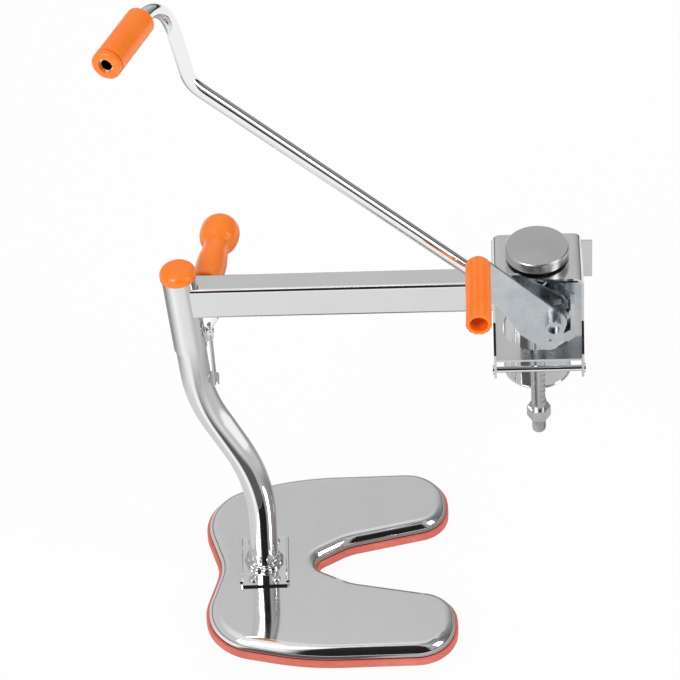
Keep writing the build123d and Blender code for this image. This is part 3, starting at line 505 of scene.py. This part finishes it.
def foot_screw_head(k, x, y):
    """Pan head with a cross-shaped recess, whose arms taper down to a point."""
    head_radius, head_height = 5.2, 2.7
    foot_inset, edge_height = 0.25, 0.5
    dome_angle, dome_inset = math.radians(72), 2.5
    rim_radius, rim_rise = 3.25, 0.12
    cross_long, cross_wide, cross_depth, cross_taper = 3.1, 0.80, 1.7, 0.55
    around = 96
    bm = bmesh.new()
    turn = Matrix.Rotation(SCREW_FIRST_TURN + SCREW_NEXT_TURN * k, 4, "Z")
    m = Matrix.Translation(Vector((x, y, PLATE_TOP)) * MM) @ turn

    def cross(a):
        """Radius of a plus-shaped outline at an angle."""
        c, s = abs(math.cos(a)), abs(math.sin(a))
        side, slim = max(c, s), min(c, s)
        reach = cross_long / side
        if slim * reach > cross_wide:
            reach = cross_wide / slim
        return reach * MM

    levels = [
        (same_radius((head_radius - foot_inset) * MM), 0.0),
        (same_radius(head_radius * MM), edge_height),
    ]
    for share in (0.25, 0.5, 0.75, 1.0):
        arc = share * dome_angle
        radius = head_radius - dome_inset * (1 - math.cos(arc))
        z = edge_height + (head_height - edge_height) * math.sin(arc) / math.sin(dome_angle)
        levels.append((same_radius(radius * MM), z))
    levels.append((same_radius(rim_radius * MM), head_height + rim_rise))
    levels.append((cross, head_height + rim_rise))
    levels.append((lambda a: cross_taper * cross(a), head_height - cross_depth))
    skin(bm, [ring(bm, m, radius_at, z * MM, around) for radius_at, z in levels])
    obj = piece("foot_screw_head_%d" % k, bm, "root", steel_screw, smooth=35)
    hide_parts("foot_screws")


for k, (side_x, side_y) in enumerate(SCREW_CORNERS):
    foot_screw_head(k, side_x * SCREW_X, side_y * SCREW_Y)


def foot_weld_bead():
    """Rippled bead round the tube's foot: drops that overlap, each a little higher than its joints."""
    tube_radius, size, ripples = 16.0 * MM, 4.8 * MM, 11
    around, across = 24 * ripples, 18
    out, up, flatness = 0.30, 0.10, 0.92
    joint_size, drop_rise, wander = 0.80, 0.24, 0.06
    uneven = 0.35
    bm = bmesh.new()
    m = Matrix.Translation(Vector((0, 0, PLATE_TOP)) * MM)
    rings = []
    for i in range(around):
        a = 2 * math.pi * i / around
        drop = abs(math.sin(ripples * a / 2 + uneven * math.sin(3 * a)))
        swell = size * (joint_size + drop_rise * drop + wander * math.sin(5 * a + 1.0))
        row = []
        for j in range(across):
            b = 2 * math.pi * j / across
            r = tube_radius + out * size + swell * math.cos(b) * flatness
            z = up * size + swell * math.sin(b)
            row.append(bm.verts.new(m @ Vector((r * math.cos(a), r * math.sin(a), z))))
        rings.append(row)
    skin(bm, rings, closed=True)
    piece("foot_weld_bead", bm, "root", weld_metal, smooth=60)


foot_weld_bead()

RACK_X = 292.0


def rack_end_thread():
    """Single-start thread on the rack's end: a helical ridge that runs out at both ends."""
    low, high, rod_radius, pitch = 216.5, 236.8, 6.5, 1.9
    crest, root, crest_half, root_half = 0.85, -0.25, 0.10, 0.46
    end_gap, run_out, steps = 0.6, 1.5, 28
    bm = bmesh.new()
    count = int(((high - low) / pitch - 2 * end_gap) * steps)
    rows = []
    for i in range(count + 1):
        a = 2 * math.pi * i / steps
        z = low + end_gap * pitch + pitch * i / steps
        ease = min(1.0, i / steps * run_out, (count - i) / steps * run_out)
        section = (
            (root, -root_half),
            (crest * ease, -crest_half),
            (crest * ease, crest_half),
            (root, root_half),
        )
        row = []
        for rise, shift in section:
            r = rod_radius + rise
            x, y = RACK_X + r * math.cos(a), r * math.sin(a)
            row.append(bm.verts.new(on_arm(x, y, z + shift * pitch)))
        rows.append(row)
    skin(bm, rows)
    piece("rack_end_thread", bm, "rack", steel_rod, smooth=35)


rack_end_thread()


def barrel_lip():
    """Rolled lip round the barrel's lower rim."""
    barrel_y, rim_z = 48, 263
    lip_radius, lip_half_width, lip_half_height = 35.2, 0.9, 1.1
    lip_middle, across, around = 1.0, 12, 96
    bm = bmesh.new()
    m = upright_on_arm(on_arm(RACK_X, barrel_y, rim_z))
    rings = []
    for j in range(across):
        b = 2 * math.pi * j / across
        radius = (lip_radius + lip_half_width * math.cos(b)) * MM
        z = lip_middle * MM + lip_half_height * MM * math.sin(b)
        rings.append(ring(bm, m, same_radius(radius), z, around))
    skin(bm, rings, closed=True)
    piece("barrel_lip", bm, "root", chrome_arm, smooth=30)


barrel_lip()

# ------------------------------------------------------------------ floor and light
# Share of a turn, or of the height from straight down to straight up, and the light there.
BAND_STOPS = [
    (0.000, 0.62),
    (0.240, 0.66),
    (0.355, 0.70),
    (0.385, 1.00),
    (0.435, 1.00),
    (0.455, 0.02),
    (0.590, 0.015),
    (0.612, 0.46),
    (0.680, 0.34),
    (0.760, 0.16),
    (0.860, 0.30),
    (0.930, 0.55),
    (1.000, 0.62),
]
OUTER_STOPS = [
    (0.000, 0.22),
    (0.190, 0.24),
    (0.270, 0.60),
    (0.350, 1.00),
    (0.430, 0.84),
    (0.560, 0.78),
    (0.640, 0.50),
    (0.780, 0.55),
    (0.850, 0.32),
    (0.900, 0.18),
    (1.000, 0.22),
]
HEIGHT_STOPS = [
    (0.000, 1.00),
    (0.470, 1.00),
    (0.500, 0.06),
    (0.535, 0.05),
    (0.565, 0.80),
    (0.680, 1.00),
    (0.790, 0.98),
    (0.860, 0.95),
    (0.930, 1.30),
    (1.000, 1.45),
]
WHITE = (1, 1, 1, 1)
FLOOR_HALF = 9.0
FLOOR_DROP = 0.0002
FLOOR_GREY = 0.90
FLOOR_GLOW = 0.90
OUTER_FROM, OUTER_TO = 0.30, 0.44
WHITE_FROM, WHITE_TO = 0.70, 0.90
PLAIN_LEVEL = 0.62
LAMP_TARGET = Vector((0.12, -0.02, 0.3))


def azimuth_bands(tree, x, y, stops):
    """Studio seen round the compass: pale on the left, a bright panel, a dark gap, grey on the right."""
    back = wire(tree, "ShaderNodeMath", (y, -1.0), operation="MULTIPLY")
    angle = wire(tree, "ShaderNodeMath", (x, back.outputs[0]), operation="ARCTAN2")
    return ramp(tree, span(tree, angle.outputs[0], -math.pi, math.pi, 0.0, 1.0), stops)


def ray_kinds(tree):
    """One for rays from the camera or through glass, and one for rays of a reflection."""
    path = wire(tree, "ShaderNodeLightPath")
    straight = (path.outputs["Is Camera Ray"], path.outputs["Is Transmission Ray"])
    direct = wire(tree, "ShaderNodeMath", straight, operation="MAXIMUM")
    return direct.outputs[0], path.outputs["Is Glossy Ray"]


def floor_material():
    """White where seen, with its shadow; the studio's bands in reflections near the object."""
    m = bpy.data.materials.new("floor")
    m.use_nodes = True
    t = m.node_tree
    t.nodes.clear()
    out = wire(t, "ShaderNodeOutputMaterial")
    diffuse = wire(t, "ShaderNodeBsdfDiffuse", (rgba(FLOOR_GREY),))
    position = wire(t, "ShaderNodeNewGeometry").outputs["Position"]
    split = wire(t, "ShaderNodeSeparateXYZ", (position,))
    near = azimuth_bands(t, split.outputs["X"], split.outputs["Y"], BAND_STOPS)
    outer = azimuth_bands(t, split.outputs["X"], split.outputs["Y"], OUTER_STOPS)
    reach = wire(t, "ShaderNodeVectorMath", (position,), operation="LENGTH").outputs["Value"]
    bands = blend(t, span(t, reach, OUTER_FROM, OUTER_TO, 0.0, 1.0), near, outer)
    mirrored = blend(t, span(t, reach, WHITE_FROM, WHITE_TO, 0.0, 1.0), bands, WHITE)
    direct, gloss = ray_kinds(t)
    glow = wire(t, "ShaderNodeEmission", (blend(t, gloss, WHITE, mirrored),))
    either = wire(t, "ShaderNodeMath", (direct, gloss), operation="MAXIMUM")
    share = wire(t, "ShaderNodeMath", (either.outputs[0], FLOOR_GLOW), operation="MULTIPLY")
    layers = (share.outputs[0], diffuse.outputs[0], glow.outputs[0])
    feed(t, out.inputs["Surface"], wire(t, "ShaderNodeMixShader", layers).outputs[0])
    return m


def floor():
    mesh = bpy.data.meshes.new("floor")
    bm = bmesh.new()
    bmesh.ops.create_grid(bm, x_segments=1, y_segments=1, size=FLOOR_HALF)
    bm.to_mesh(mesh)
    bm.free()
    obj = bpy.data.objects.new("floor", mesh)
    bpy.context.collection.objects.link(obj)
    obj.location = (0, 0, cad_low[2] - FLOOR_DROP)
    mesh.materials.append(floor_material())


def world():
    """White for the camera, a plain level on matt surfaces, and the studio's panels in the gloss."""
    w = bpy.data.worlds.new("studio")
    bpy.context.scene.world = w
    w.use_nodes = True
    t = w.node_tree
    t.nodes.clear()
    out = wire(t, "ShaderNodeOutputWorld")
    direction = wire(t, "ShaderNodeTexCoord").outputs["Generated"]
    split = wire(t, "ShaderNodeSeparateXYZ", (direction,))
    levels = ramp(t, span(t, split.outputs["Z"], -1.0, 1.0, 0.0, 1.0), HEIGHT_STOPS)
    bands = azimuth_bands(t, split.outputs["X"], split.outputs["Y"], BAND_STOPS)
    studio = blend(t, 1.0, levels, bands, blend_type="MULTIPLY")
    mirrored = wire(t, "ShaderNodeBackground", (studio,))
    plain = wire(t, "ShaderNodeBackground", (WHITE, PLAIN_LEVEL))
    white = wire(t, "ShaderNodeBackground", (WHITE,))
    direct, gloss = ray_kinds(t)
    unseen = wire(t, "ShaderNodeMixShader", (gloss, plain.outputs[0], mirrored.outputs[0]))
    whole = wire(t, "ShaderNodeMixShader", (direct, unseen.outputs[0], white.outputs[0]))
    feed(t, out.inputs["Surface"], whole.outputs[0])


def lamp(name, place, size, power, in_gloss=True):
    """A panel that faces the object's middle; size in metres, power in watts."""
    data = bpy.data.lights.new(name, "AREA")
    data.shape = "RECTANGLE"
    data.size, data.size_y = size
    data.energy = power
    obj = bpy.data.objects.new(name, data)
    bpy.context.collection.objects.link(obj)
    obj.location = place
    obj.rotation_mode = "QUATERNION"
    obj.rotation_quaternion = (LAMP_TARGET - Vector(place)).to_track_quat("-Z", "Y")
    obj.visible_glossy = in_gloss


floor()
world()
lamp("key", (-1.4, -1.6, 1.9), size=(1.0, 1.0), power=26.0)
lamp("fill", (1.9, -0.9, 1.2), size=(0.7, 1.4), power=12.0)
lamp("back", (0.3, 1.9, 1.6), size=(1.6, 0.6), power=12.0, in_gloss=False)
